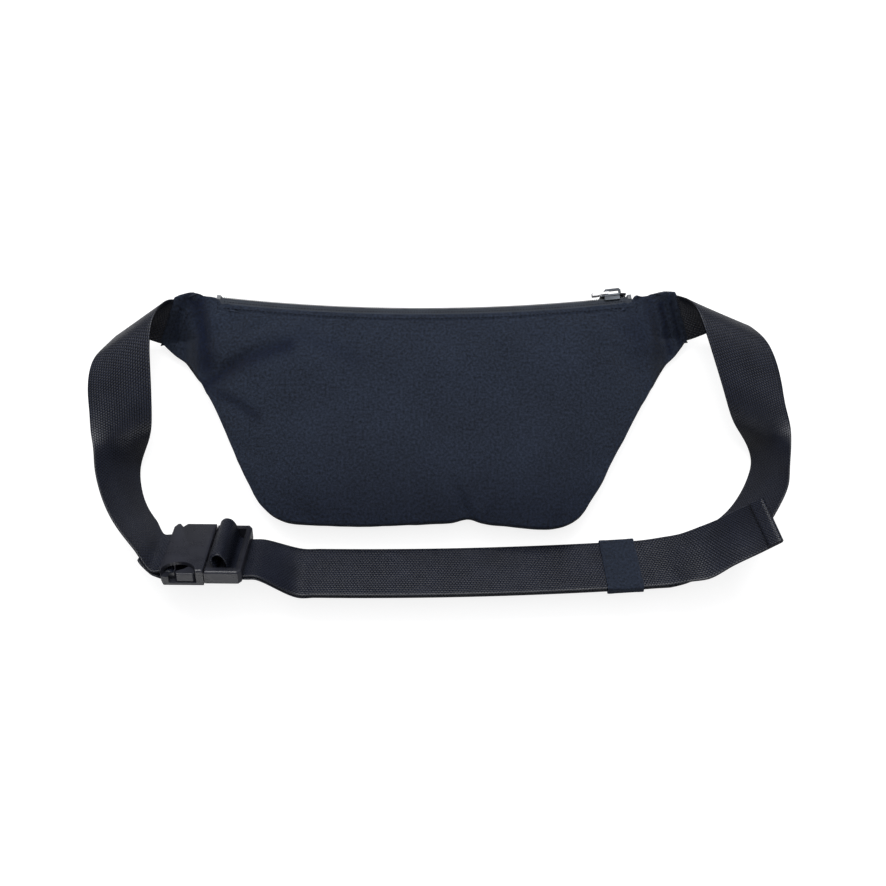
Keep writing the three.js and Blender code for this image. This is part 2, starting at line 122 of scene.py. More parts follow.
# ---------- Materials ----------
class Nodes:
    """Short calls that add nodes to a material and link them."""

    def __init__(self, name):
        self.material = bpy.data.materials.new(name)
        self.material.use_nodes = True
        self.tree = self.material.node_tree
        self.shader = self.tree.nodes["Principled BSDF"]

    def add(self, kind, **values):
        node = self.tree.nodes.new(kind)
        for key, value in values.items():
            setattr(node, key, value)
        return node

    def plug(self, socket, value):
        if isinstance(value, bpy.types.NodeSocket):
            self.tree.links.new(value, socket)
        else:
            socket.default_value = value

    def math(self, operation, a, b=0.0):
        node = self.add("ShaderNodeMath", operation=operation)
        for socket, value in zip(node.inputs, (a, b)):
            self.plug(socket, value)
        return node.outputs[0]

    def times(self, a, b):
        return self.math("MULTIPLY", a, b)

    def blend(self, a, b, share):
        """Adds a and b, with b's share of the whole."""
        return self.math("ADD", self.times(a, 1 - share), self.times(b, share))

    def arches(self, value):
        """One rounded arch, 0 to 1 to 0, to each whole step of value."""
        return self.math("ABSOLUTE", self.math("SINE", self.times(value, math.pi)))

    def noise(self, where, scale, detail=2.0, roughness=0.5):
        node = self.add("ShaderNodeTexNoise")
        self.plug(node.inputs["Vector"], where)
        node.inputs["Scale"].default_value = scale
        node.inputs["Detail"].default_value = detail
        node.inputs["Roughness"].default_value = roughness
        return node.outputs["Fac"]

    def ramp(self, value, stops):
        """Maps a value to a colour; stops are (position, colour)."""
        node = self.add("ShaderNodeValToRGB")
        elements = node.color_ramp.elements
        while len(elements) < len(stops):
            elements.new(0.5)
        for element, (position, colour) in zip(elements, stops):
            element.position = position
            element.color = (*colour, 1)
        self.plug(node.inputs[0], value)
        return node.outputs["Color"]

    def stretch(self, value, low, high, new_low, new_high):
        node = self.add("ShaderNodeMapRange")
        for key, number in zip(node.inputs.keys()[1:5], (low, high, new_low, new_high)):
            node.inputs[key].default_value = number
        self.plug(node.inputs[0], value)
        return node.outputs[0]

    def bump(self, height, distance, strength=1.0, under=None):
        node = self.add("ShaderNodeBump")
        node.inputs["Distance"].default_value = distance
        node.inputs["Strength"].default_value = strength
        self.plug(node.inputs["Height"], height)
        if under is not None:
            self.plug(node.inputs["Normal"], under)
        return node.outputs["Normal"]

    def cloth_coordinates(self):
        """(along, across) in metres from the piece's weave map."""
        uv = self.add("ShaderNodeUVMap", uv_map="weave")
        parts = self.add("ShaderNodeSeparateXYZ")
        self.plug(parts.inputs[0], uv.outputs[0])
        return uv.outputs[0], parts.outputs[0], parts.outputs[1]

    def place(self):
        return self.add("ShaderNodeTexCoord").outputs["Object"]

    def toward_sharp_edges(self, start):
        """0 to 1, rising from start towards the sharpest edges."""
        edges = self.add("ShaderNodeNewGeometry").outputs["Pointiness"]
        return self.stretch(edges, start, 0.62, 0.0, 1.0)

    def finish(self, colour, roughness, normal, specular=0.5, sheen=0.0, metallic=0.0):
        shader = self.shader
        self.plug(shader.inputs["Base Color"], colour)
        self.plug(shader.inputs["Roughness"], roughness)
        self.plug(shader.inputs["Normal"], normal)
        shader.inputs["Specular IOR Level"].default_value = specular
        shader.inputs["Sheen Weight"].default_value = sheen
        shader.inputs["Sheen Roughness"].default_value = 0.4
        shader.inputs["Metallic"].default_value = metallic
        return self.material


def scaled(colour, factor):
    return tuple(min(1.0, c * factor) for c in colour)


def plain_weave(name, colour, pitch, specular=0.4, rough=(0.5, 0.62), sheen=0.1):
    """Shell and lining cloth: a fine plain weave with slight slubs and shade variation, and painted
    shade where its 'fold' attribute is set.
    """
    n = Nodes(name)
    uv, along, across = n.cloth_coordinates()
    turns = 2 * math.pi / pitch
    checks = n.times(n.math("SINE", n.times(along, turns)), n.math("SINE", n.times(across, turns)))
    slub = n.noise(uv, 620.0, 4.0, 0.65)
    cloud = n.noise(uv, 28.0, 3.0)
    mottle = n.blend(slub, cloud, 0.15)
    # The 'fold' attribute is painted shade: it tints the cloth towards dark navy in folds, along sewn
    # rows and towards the lower seam.
    fold = n.add("ShaderNodeAttribute", attribute_name="fold").outputs["Fac"]
    mix = n.add("ShaderNodeVectorMath", operation="MULTIPLY")
    n.plug(mix.inputs[0], n.ramp(mottle, [(0.34, scaled(colour, 0.3)), (0.66, scaled(colour, 1.7))]))
    n.plug(mix.inputs[1], n.ramp(fold, [(0.0, (1, 1, 1)), (1.0, (0.05, 0.15, 0.4))]))
    roughness = n.stretch(slub, 0.3, 0.7, *rough)
    fine = n.bump(checks, pitch * 0.2, 0.9)
    normal = n.bump(slub, 0.0005, 0.9, fine)
    return n.finish(mix.outputs[0], roughness, normal, specular, sheen)


def ribbed_webbing(name, colour, column, row, specular=0.5, rough=(0.42, 0.58), sheen=0.2):
    """Belt webbing: columns of warp floats, each second column half a row further on."""
    n = Nodes(name)
    uv, along, across = n.cloth_coordinates()
    columns = n.times(across, 1 / column)
    shift = n.times(n.math("FLOOR", columns), 0.5)
    rows = n.math("ADD", n.times(along, 1 / row), shift)
    ridge = n.arches(columns)
    pick = n.arches(rows)
    knuckle = n.times(n.math("POWER", ridge, 0.4), n.math("POWER", pick, 0.5))
    fibre = n.noise(uv, 1500.0, 2.0)
    cloud = n.noise(uv, 60.0, 2.0)
    # The tint is painted shade and light from the weave: darker in the gaps between the floats,
    # lighter on their tops, with a share of random tone from the cloud.
    painted_weave_shade_and_mottle = n.blend(knuckle, cloud, 0.3)
    tint = n.ramp(painted_weave_shade_and_mottle, [(0.35, scaled(colour, 0.05)), (0.85, scaled(colour, 2.2))])
    roughness = n.stretch(fibre, 0.3, 0.7, *rough)
    weave = n.bump(knuckle, 0.00017, 1.0)
    normal = n.bump(fibre, 0.00008, 0.4, weave)
    return n.finish(tint, roughness, normal, specular, sheen)


def moulded_plastic(name, colour):
    """Acetal with a fine spark-eroded texture, and lighter towards its sharp edges."""
    n = Nodes(name)
    grain = n.noise(n.place(), 4200.0, 2.0)
    flow = n.noise(n.place(), 90.0, 3.0)
    tone = n.blend(flow, n.toward_sharp_edges(0.5), 0.5)
    tint = n.ramp(tone, [(0.2, scaled(colour, 0.8)), (0.9, scaled(colour, 2.6))])
    roughness = n.stretch(flow, 0.3, 0.7, 0.24, 0.32)
    return n.finish(tint, roughness, n.bump(grain, 0.00005, 0.5), 0.5)


def thread(name, colour):
    """Sewing thread, twisted."""
    n = Nodes(name)
    twist = n.noise(n.place(), 5200.0, 1.0)
    tint = n.ramp(twist, [(0.3, scaled(colour, 0.7)), (0.7, scaled(colour, 1.35))])
    return n.finish(tint, 0.6, n.bump(twist, 0.00008, 0.7), 0.1, 0.0)


def cast_metal(name, colour, roughness, coat):
    """Zinc casting: brushed a little, and lacquered where coat is above 0."""
    n = Nodes(name)
    scratch = n.add("ShaderNodeMapping")
    n.plug(scratch.inputs["Vector"], n.place())
    scratch.inputs["Scale"].default_value = (1.0, 8.0, 8.0)
    marks = n.noise(scratch.outputs[0], 500.0, 3.0)
    tone = n.blend(marks, n.toward_sharp_edges(0.52), 0.6)
    tint = n.ramp(tone, [(0.15, scaled(colour, 0.8)), (0.85, scaled(colour, 2.2))])
    rough = n.stretch(marks, 0.3, 0.7, roughness, roughness + 0.12)
    n.shader.inputs["Coat Weight"].default_value = coat
    return n.finish(tint, rough, n.bump(marks, 0.00003, 0.4), 0.5, 0.0, 1.0)


SHELL = (0.0122, 0.017, 0.0292)
WEBBING = (0.0075, 0.0088, 0.0145)
shell_cloth = plain_weave("shell_cloth", SHELL, 0.00045, 0.12, (0.5, 0.62), 0.03)
lining_cloth = plain_weave("lining_cloth", (0.03, 0.032, 0.038), 0.0003, 0.3, (0.55, 0.7), 0.05)
belt_webbing = ribbed_webbing("belt_webbing", WEBBING, 0.0015, 0.0019, 0.25, (0.24, 0.32), 0.0)
zip_tape_cloth = ribbed_webbing("zip_tape_cloth", (0.013, 0.017, 0.025), 0.0006, 0.0009, 0.25)
buckle_acetal = moulded_plastic("buckle_acetal", (0.0085, 0.009, 0.0125))
coil_nylon = moulded_plastic("coil_nylon", (0.02, 0.023, 0.028))
shell_thread = thread("shell_thread", (0.004, 0.005, 0.009))
slider_lacquer = cast_metal("slider_lacquer", (0.03, 0.033, 0.038), 0.36, 0.1)
puller_steel = cast_metal("puller_steel", (0.2, 0.2, 0.205), 0.3, 0.0)


# ---------- Curves and meshes ----------
def unit(vectors):
    return vectors / np.linalg.norm(vectors, axis=-1, keepdims=True)


def tangents(line):
    return unit(np.gradient(line, axis=0))


def spline(points, per_span):
    """Centripetal Catmull-Rom curve through points, with per_span steps to a span."""
    points = np.asarray(points, float)
    before = 2 * points[:1] - points[1:2]
    after = 2 * points[-1:] - points[-2:-1]
    line = np.concatenate([before, points, after])
    knots = np.sqrt(np.maximum(np.linalg.norm(np.diff(line, axis=0), axis=1), 1e-6))
    t = (np.arange(per_span) / per_span)[:, None]
    made = []
    for i in range(len(points) - 1):
        p0, p1, p2, p3 = line[i : i + 4]
        d0, d1, d2 = knots[i : i + 3]
        m1 = ((p1 - p0) / d0 - (p2 - p0) / (d0 + d1) + (p2 - p1) / d1) * d1
        m2 = ((p2 - p1) / d1 - (p3 - p1) / (d1 + d2) + (p3 - p2) / d2) * d1
        cubic = 2 * p1 - 2 * p2 + m1 + m2
        square = -3 * p1 + 3 * p2 - 2 * m1 - m2
        made.append(p1 + m1 * t + square * t**2 + cubic * t**3)
    return np.concatenate([*made, points[-1:]])


def lengths_along(points):
    steps = np.linalg.norm(np.diff(points, axis=0), axis=-1)
    return np.concatenate([[0.0], np.cumsum(steps)])


def at_lengths(points, travelled, wanted):
    """points, known at the lengths travelled, read off at the lengths wanted."""
    flat = np.asarray(points, float).reshape(len(points), -1)
    columns = [np.interp(wanted, travelled, flat[:, k]) for k in range(flat.shape[1])]
    return np.stack(columns, -1).reshape(len(wanted), *np.shape(points)[1:])


def grid_faces(rows, columns, start=0, closed=False):
    """Quads between rows of points; closed joins each row's last point to its first."""
    j = np.arange(columns if closed else columns - 1)
    i = np.arange(rows - 1)[:, None]
    nxt = (j + 1) % columns
    a = i * columns + j
    b = i * columns + nxt
    return (np.stack([a, b, b + columns, a + columns], -1).reshape(-1, 4) + start).tolist()


def facing_out(points, faces):
    """The faces of a closed mesh, turned so that they all look outwards."""
    volume = 0.0
    for size in sorted({len(face) for face in faces}):
        loops = points[np.array([face for face in faces if len(face) == size])]
        for k in range(1, size - 1):
            volume += np.einsum("ij,ij->", loops[:, 0], np.cross(loops[:, k], loops[:, k + 1]))
    return faces if volume > 0 else [list(face)[::-1] for face in faces]


def make_piece(name, points, faces, material, body, slot, weave=None):
    """A mesh in metres from points in millimetres. weave holds (along, across) at each point."""
    faces = facing_out(points, faces)
    mesh = bpy.data.meshes.new(name)
    mesh.from_pydata((points * MM).tolist(), [], faces)
    mesh.materials.append(material)
    mesh.polygons.foreach_set("use_smooth", [True] * len(mesh.polygons))
    if weave is not None:
        layer = mesh.uv_layers.new(name="weave")
        corner = np.zeros(len(mesh.loops), np.int32)
        mesh.loops.foreach_get("vertex_index", corner)
        layer.data.foreach_set("uv", (np.asarray(weave) * MM)[corner].astype(np.float32).ravel())
    mesh.validate()
    mesh.update()
    piece = add_object(name, mesh)
    if body:
        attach(piece, body)
    return piece


def grid_normals(grid):
    """Normals of a grid of points (rows, columns, 3), towards columns x rows."""
    return unit(np.cross(np.gradient(grid, axis=1), np.gradient(grid, axis=0)))


def border(rows, columns):
    """Indices round the edge of a grid of points."""
    ids = np.arange(rows * columns).reshape(rows, columns)
    return np.concatenate([ids[0], ids[1:, -1], ids[-1, -2::-1], ids[-2:0:-1, 0]])


def weave_grid(along, across):
    """(rows, columns, 2) weave lengths from one that runs with the rows and one with the columns."""
    return np.dstack(np.broadcast_arrays(along, across))


def sheet_mesh(grid, thickness, side, rim_steps=3):
    """A closed sheet from its outer face. side is 1 where the grid's normals point outwards."""
    rows, columns = grid.shape[:2]
    normal = grid_normals(grid) * side
    inner = grid - normal * thickness
    points = [grid.reshape(-1, 3), inner.reshape(-1, 3)]
    count = rows * columns
    top = np.array(grid_faces(rows, columns))
    under = top[:, ::-1] + count
    edge = border(rows, columns)
    outer_edge = grid.reshape(-1, 3)[edge]
    inner_edge = inner.reshape(-1, 3)[edge]
    middle = (outer_edge + inner_edge) / 2
    along = unit(np.roll(outer_edge, -1, axis=0) - np.roll(outer_edge, 1, axis=0))
    lift = outer_edge - middle
    out = unit(np.cross(along, lift)) * thickness / 2
    loops = [edge]
    start = 2 * count
    for k in range(1, rim_steps + 1):
        turn = math.pi * k / (rim_steps + 1)
        points.append(middle + lift * math.cos(turn) + out * side * math.sin(turn))
        loops.append(start + np.arange(len(edge)))
        start += len(edge)
    loops.append(edge + count)
    faces = [top, under]
    for a, b in zip(loops, loops[1:]):
        nxt_a, nxt_b = np.roll(a, -1), np.roll(b, -1)
        faces.append(np.stack([a, b, nxt_b, nxt_a], -1))
    faces = np.concatenate(faces)
    if side < 0:
        faces = faces[:, ::-1]
    return np.concatenate(points), faces.tolist(), edge


def make_sheet(name, grid, thickness, side, material, body, slot, weave):
    """A sheet as a piece; weave is (rows, columns, 2)."""
    points, faces, edge = sheet_mesh(grid, thickness, side)
    flat = weave.reshape(-1, 2)
    rims = (len(points) - 2 * len(flat)) // len(edge)
    return make_piece(
        name, points, faces, material, body, slot, np.concatenate([flat, flat, *[flat[edge]] * rims])
    )


def tube(path, radius, sides, reference):
    """Points and faces of a tube along path; reference is a direction that is never along it."""
    path = np.asarray(path, float)
    along = tangents(path)
    first = unit(np.cross(along, reference))
    second = np.cross(along, first)
    turn = np.arange(sides) * 2 * math.pi / sides
    radius = np.broadcast_to(np.asarray(radius, float), (len(path),))
    ring = first[:, None] * np.cos(turn)[:, None] + second[:, None] * np.sin(turn)[:, None]
    points = (path[:, None] + ring * radius[:, None, None]).reshape(-1, 3)
    faces = grid_faces(len(path), sides, closed=True)
    faces.append(list(range(sides))[::-1])
    faces.append(list(range((len(path) - 1) * sides, len(path) * sides)))
    return points, faces


def join_meshes(parts):
    points, faces, start = [], [], 0
    for some_points, some_faces in parts:
        points.append(some_points)
        faces += [[v + start for v in face] for face in some_faces]
        start += len(some_points)
    return np.concatenate(points), faces


def make_stitches(name, line, normals, body, slot="shell_fabric", pitch=2.7, length=2.1, radius=0.24):
    """A row of lock stitches along a line of points lying on a surface."""
    travelled = lengths_along(line)
    count = max(1, int(travelled[-1] / pitch))
    parts = []
    share = np.linspace(0, 1, 6)
    for k in range(count):
        begin = (k + 0.5) * travelled[-1] / count - length / 2
        path = at_lengths(line, travelled, begin + share * length)
        lift = unit(at_lengths(normals, travelled, begin + share * length))
        rise = radius * (np.sin(math.pi * share) * 1.1 - 0.35)
        thick = radius * np.array([0.35, 0.85, 1, 1, 0.85, 0.35])
        side = np.cross(tangents(path), lift)
        parts.append(tube(path + lift * rise[:, None], thick, 6, side))
    return make_piece(name, *join_meshes(parts), shell_thread, body, slot)


# ---------- Bag: outline and height ----------
ZIP_X, ZIP_Y, ZIP_RADIUS = -14.0, 87.3, 1200.0
ZIP_FROM, ZIP_TO = -147.0, 122.0
FOLD_SET = 5.2  # from the zip's line to the panel's folded edge
BAG_DEPTH, MID_Z, FABRIC = 30.0, 15.0, 0.8
TAB_DROP, TAB_RISE = 11.0, 23.8
CENTRE = np.array([-12.0, 15.0])
LEFT_TAB, RIGHT_TAB = [(-188.8, 67), (-174.1, 90.2)], [(163.6, 69.1), (150.7, 93.6)]  # their end seams
TAB_GAP = 4.4
# x, y and the distance between the two panels
SIDES_AND_BOTTOM = [
    (*LEFT_TAB[0], TAB_GAP), (-181, 59, 5), (-168, 49, 7), (-152, 24.5, 10), (-137, -7, 13),
    (-127, -28, 15), (-117, -44, 16), (-104, -53, 16), (-85, -55.8, 16), (-53, -57, 16),
    (-20, -55.8, 16), (6, -54.6, 16), (15, -52.4, 16), (25, -55, 16), (45, -57.2, 16),
    (70, -58.4, 16), (86, -52.5, 16),
    (97.5, -38, 15), (109, -17.5, 13), (132, 24.5, 10), (146, 48, 7), (156, 58, 5),
    (*RIGHT_TAB[0], TAB_GAP),
]
LEFT_TOP = [(*LEFT_TAB[1], TAB_GAP), (-169, 92.8, 3.6), (-163.5, 96.3, 3.2), (-157, 95.4, 4.5)]
RIGHT_TOP = [(131.5, 95.2, 5), (139.5, 96.5, 3.4), (145, 95.2, 3.6), (*RIGHT_TAB[1], TAB_GAP)]


def zip_y(x):
    return ZIP_Y + ZIP_RADIUS - np.sqrt(ZIP_RADIUS**2 - (x - ZIP_X) ** 2)


def zip_point(x, outward, height):
    """A point beside the zip's arc: outward across it, and height above its middle plane."""
    x, outward, height = np.broadcast_arrays(np.asarray(x, float), outward, height)
    angle = np.arcsin((x - ZIP_X) / ZIP_RADIUS)
    r = ZIP_RADIUS - outward
    y = ZIP_Y + ZIP_RADIUS - r * np.cos(angle)
    return np.stack([ZIP_X + r * np.sin(angle), y, MID_Z + height], -1)


def top_points(set_back):
    """The top edge from wing to wing, set back from the zip's line between its ends."""
    xs = np.linspace(ZIP_FROM + 0.5, ZIP_TO + 2.2, 60)
    zipped = [(x, zip_y(x) - set_back, 10.4) for x in xs]
    ends = [(ZIP_FROM - 3.4, zip_y(ZIP_FROM) - 1.2, 8), (ZIP_TO + 5.2, zip_y(ZIP_TO) - 1.0, 8)]
    return np.array([*LEFT_TOP, ends[0], *zipped, ends[1], *RIGHT_TOP])


def smoothstep(value, low, high):
    t = np.clip((value - low) / (high - low), 0, 1)
    return t * t * (3 - 2 * t)


def middle_height(x, y):
    """Height of the layer midway between the panels: level, and tilted at the wings' ends."""

    def tilt(tab):
        low, high = tab[0][1], tab[1][1]
        return TAB_RISE * np.maximum(0, (y - low) / (high - low)) - TAB_DROP

    left = smoothstep(-x, 158, 174) * tilt(LEFT_TAB)
    return MID_Z + left + smoothstep(x, 135, RIGHT_TAB[1][0]) * tilt(RIGHT_TAB)


EDGE_SET = 1.4  # the seams lie this far inside the outline, because the filled panels stand proud


def set_in(line, distance):
    """Moves a line of x, y and gap to its left, in plan."""
    tangent = tangents(line[:, :2])
    away = np.column_stack([-tangent[:, 1], tangent[:, 0], np.zeros(len(line))])
    fade = np.sin(math.pi * np.clip(np.linspace(0, 1, len(line)), 0, 1)) ** 0.25
    return line + away * (distance * fade)[:, None]


bottom_line = set_in(spline(SIDES_AND_BOTTOM, 12), EDGE_SET)
rim = np.concatenate([bottom_line, top_points(3.0)[::-1]])
rim_angle = np.unwrap(np.arctan2(rim[:, 1] - CENTRE[1], rim[:, 0] - CENTRE[0]))
rim_radius = np.hypot(rim[:, 0] - CENTRE[0], rim[:, 1] - CENTRE[1])


def half_depth(x, y):
    """Half the distance between the panels, as a soft pillow inside the outline."""
    angle = np.arctan2(y - CENTRE[1], x - CENTRE[0])
    order = np.argsort(rim_angle % (2 * math.pi))
    known = (rim_angle % (2 * math.pi))[order]
    asked = angle % (2 * math.pi)
    reach = np.interp(asked, known, rim_radius[order], period=2 * math.pi)
    edge = np.interp(asked, known, rim[order, 2], period=2 * math.pi) / 2
    share = np.clip(np.hypot(x - CENTRE[0], y - CENTRE[1]) / reach, 0, 1)
    turn = np.clip((share - 0.42) / 0.58, 0, 1) * math.pi / 2
    return edge + (BAG_DEPTH / 2 - edge) * np.cos(turn)


# ---------- Bag: columns from the lower edge to the upper edge ----------
def edge_line(points, count, evenness):
    """Reads a line at count places, spaced between even in x and even in length."""
    travelled = lengths_along(points[:, :2])
    by_length = travelled / travelled[-1]
    by_x = (points[:, 0] - points[0, 0]) / (points[-1, 0] - points[0, 0])
    share = evenness * by_length + (1 - evenness) * by_x
    return at_lengths(points, share, np.linspace(0, 1, count))


def panel_plan(columns, near_top, rest):
    """Plan of a panel: (rows, columns, 2) points, and each point's distance from the top edge."""
    low = edge_line(bottom_line, columns, 0.5)
    high = edge_line(top_points(FOLD_SET), columns, 0.1)
    length = np.linalg.norm(high[:, :2] - low[:, :2], axis=1)
    fixed = np.array(near_top)[::-1]
    shares = np.linspace(0, 1, rest, endpoint=False)
    rows = [length - t * (length - fixed[0]) for t in shares]
    rows += [np.full(columns, d) for d in fixed]
    from_top = np.array(rows)
    share = 1 - from_top / length
    plan = low[None, :, :2] + (high - low)[None, :, :2] * share[..., None]
    return plan, from_top, share


CLOTH = {
    "quality": 6, "mass": 0.2, "tension_stiffness": 20, "compression_stiffness": 12,
    "shear_stiffness": 6, "bending_stiffness": 0.25, "air_damping": 3, "use_pressure": True,
}
FILL_FRAMES, FILL_PRESSURE, FILL_SLACK = 20, 3.0, 0.012
MOST_MOVE = 3.5


def settle(points, faces, held, frames, pressure, slack):
    """Lets the closed cloth form fill with air, its held points fixed, and returns its points."""
    mesh = bpy.data.meshes.new("form")
    mesh.from_pydata((points * MM).tolist(), [], faces)
    form = add_object("form", mesh)
    group = form.vertex_groups.new(name="held")
    for level in np.unique(held):
        if level > 0:
            group.add(np.nonzero(held == level)[0].tolist(), float(level), "REPLACE")
    cloth = form.modifiers.new("cloth", "CLOTH")
    for key, value in CLOTH.items():
        setattr(cloth.settings, key, value)
    cloth.settings.vertex_group_mass = "held"
    cloth.settings.uniform_pressure_force = pressure
    cloth.settings.shrink_min = -slack
    cloth.settings.effector_weights.gravity = 0
    cloth.collision_settings.use_collision = False
    cloth.point_cache.frame_start = 1
    cloth.point_cache.frame_end = frames
    scene = bpy.context.scene
    for number in range(1, frames + 1):
        scene.frame_set(number)
    shaped = form.evaluated_get(bpy.context.evaluated_depsgraph_get())
    moved = np.zeros(len(points) * 3, np.float32)
    shaped.data.vertices.foreach_get("co", moved)
    scene.frame_set(1)
    bpy.data.objects.remove(form)
    return moved.reshape(-1, 3).astype(float) / MM


def cap_moves(moves, most):
    """Shortens moves smoothly so that none is longer than most."""
    size = np.linalg.norm(moves, axis=-1, keepdims=True)
    return moves * np.tanh(size / most) / np.maximum(size / most, 1e-9)


FORM_COLUMNS, FORM_ROWS = 100, 40


def simulate_form():
    """Moves of the back and front panels on a coarse grid, as (rows, columns, 3) each."""
    plan, _, share = panel_plan(FORM_COLUMNS, [0.0], FORM_ROWS - 1)
    x, y = plan[..., 0], plan[..., 1]
    middle, half = middle_height(x, y), half_depth(x, y)
    sides = [np.dstack([x, y, middle + s * half]) for s in (1, -1)]
    count = FORM_ROWS * FORM_COLUMNS
    back = np.array(grid_faces(FORM_ROWS, FORM_COLUMNS))
    front = back[:, ::-1] + count
    ring = border(FORM_ROWS, FORM_COLUMNS)
    nxt = np.roll(ring, -1)
    wall = np.stack([ring, ring + count, nxt + count, nxt], -1)
    faces = np.concatenate([back, front, wall]).tolist()
    points = np.concatenate([s.reshape(-1, 3) for s in sides])
    held = np.ones((FORM_ROWS, FORM_COLUMNS))
    held[:-1, 5:-5] = 0
    held[0, 5:-5] = 0.9
    held = np.concatenate([held.ravel()] * 2)
    moved = settle(points, faces, held, FILL_FRAMES, FILL_PRESSURE, FILL_SLACK)
    moves = cap_moves(moved - points, MOST_MOVE)
    return share, moves.reshape(2, FORM_ROWS, FORM_COLUMNS, 3)


def read_moves(moves, shares, share):
    """Reads coarse moves at a finer grid of (rows, columns) heights up each column."""
    place = np.linspace(0, 1, share.shape[1])
    coarse = np.linspace(0, 1, moves.shape[1])
    wide_share = np.array([np.interp(place, coarse, row) for row in shares])
    made = np.empty((*share.shape, 3))
    for k in range(3):
        wide = np.array([np.interp(place, coarse, row) for row in moves[..., k]])
        for column in range(share.shape[1]):
            known = wide_share[:, column]
            made[:, column, k] = np.interp(share[:, column], known, wide[:, column])
    return made


def soften(field, passes):
    """Averages a grid field with its neighbours, keeping its edge values."""
    field = field.copy()
    for _ in range(passes):
        inner = field[1:-1, 1:-1] * 2
        inner = inner + field[:-2, 1:-1] + field[2:, 1:-1] + field[1:-1, :-2] + field[1:-1, 2:]
        field[1:-1, 1:-1] = inner / 6
    return field


# Folds on the back: points x, y, then width and depth; a negative depth is a ridge.
CREASES = [
    ([(-153, 36), (-143, 43.2), (-134.1, 49.2), (-117.4, 57.1), (-99.4, 63.1)], 4.2, 3.4),
    ([(-150, 47), (-137, 56), (-120, 64)], 7.0, -1.3),
    ([(-163, 95), (-159.1, 81.7), (-155.5, 66.4), (-153, 50)], 3.2, 3.4),
    ([(-155, 92), (-151, 80), (-147, 66)], 4.5, -1.0),
    ([(-148, 29.5), (-131.5, 19.8), (-120.4, 11.9)], 4.0, 1.3),
    ([(-92, 64.6), (-73.1, 57.3), (-56.2, 48.7)], 6.0, 0.8),
    ([(139.5, 94), (141.5, 80), (143, 64)], 3.4, 2.4),
    ([(131, 72), (136.5, 60), (139, 48)], 6.5, 1.2),
    ([(128, 50), (108, 57), (88, 66)], 9.0, 0.8),
    ([(15, -53), (13, -44), (7, -30)], 3.0, 1.8),
    ([(24, -55), (27, -44), (35, -30)], 5.0, -1.0),
    ([(-100, -52), (-92, -34), (-86, -10)], 9.0, 0.9),
    ([(88, -50), (80, -34), (74, -12)], 8.0, 0.9),
]


def from_curve(x, y, points):
    """Distance of plan points from a curve, and the nearest place's share of its length."""
    line = spline(points, 10)
    gap = np.hypot(x[..., None] - line[:, 0], y[..., None] - line[:, 1])
    return gap.min(-1), gap.argmin(-1) / (len(line) - 1)


def creased(x, y):
    """Height taken off by the creases, at plan points."""
    drop = np.zeros_like(x)
    for points, width, depth in CREASES:
        gap, share = from_curve(x, y, points)
        fade = np.sin(math.pi * np.clip(share * 0.9 + 0.05, 0, 1)) ** 0.7
        drop += depth * fade * np.exp(-((gap / width) ** 2))
    return drop


def ripples(x, y, from_edge):
    """Small puckers along the seam, dying out away from it."""
    wave = np.sin(x / 3.1) * 0.5 + np.sin(x / 4.7 + 1.3 + y / 9) * 0.5 + np.sin(x / 8.3 + 0.4) * 0.6
    return 0.28 * wave * np.exp(-((from_edge / 9) ** 2))


NEAR_TOP = [0, 0.6, 1.2, 1.9, 2.7, 3.3, 3.8, 4.3, 5.0, 6.2, 8.0, 10.5]
COLUMNS, REST_ROWS = 250, 62
plan, from_top, share = panel_plan(COLUMNS, NEAR_TOP, REST_ROWS)
PLAN_X, PLAN_Y = plan[..., 0], plan[..., 1]
column_length = np.linalg.norm(plan[-1] - plan[0], axis=-1)
from_bottom = share * column_length


def distance_to_line(x, y, a, b):
    """Distance of plan points from the line through a and b."""
    a, b = np.array(a, float), np.array(b, float)
    across = np.array([-(b - a)[1], (b - a)[0]]) / np.linalg.norm(b - a)
    return np.abs((x - a[0]) * across[0] + (y - a[1]) * across[1])


from_tab = np.minimum(
    distance_to_line(PLAN_X, PLAN_Y, *LEFT_TAB), distance_to_line(PLAN_X, PLAN_Y, *RIGHT_TAB)
)


def seam_relief():
    """Height added where the cloth is folded and sewn: the zip's hem and the tabs' hems."""
    hem = 0.55 * (1 - smoothstep(from_top, 3.0, 4.2))
    groove = -0.3 * np.exp(-(((from_top - 4.0) / 0.6) ** 2))
    past_end = smoothstep(PLAN_X, ZIP_TO + 1, ZIP_TO + 6)
    zipped = smoothstep(PLAN_X, ZIP_FROM - 3, ZIP_FROM + 1) * (1 - past_end)
    tab_hem = 0.6 * (1 - smoothstep(from_tab, 4.2, 5.4))
    tab_groove = -0.35 * np.exp(-(((from_tab - 7.5) / 0.8) ** 2))
    return (hem + groove) * zipped + tab_hem + tab_groove


middle, half = middle_height(PLAN_X, PLAN_Y), half_depth(PLAN_X, PLAN_Y)
back_grid = np.dstack([PLAN_X, PLAN_Y, middle + half])
front_grid = np.dstack([PLAN_X, PLAN_Y, middle - half])
form_share, form_moves = simulate_form()
back_grid = back_grid + read_moves(soften(form_moves[0], 1), form_share, share)
front_grid = front_grid + read_moves(soften(form_moves[1], 1), form_share, share)
back_grid[..., 2] += ripples(PLAN_X, PLAN_Y, from_bottom) - creased(PLAN_X, PLAN_Y) + seam_relief()
front_grid[..., 2] -= ripples(PLAN_X + 20, PLAN_Y, from_bottom) + seam_relief() * 0.5
front_grid[..., 2] = 0.05 + np.logaddexp(0, (front_grid[..., 2] - 0.05) * 3) / 3

weave = np.dstack([PLAN_X, PLAN_Y])


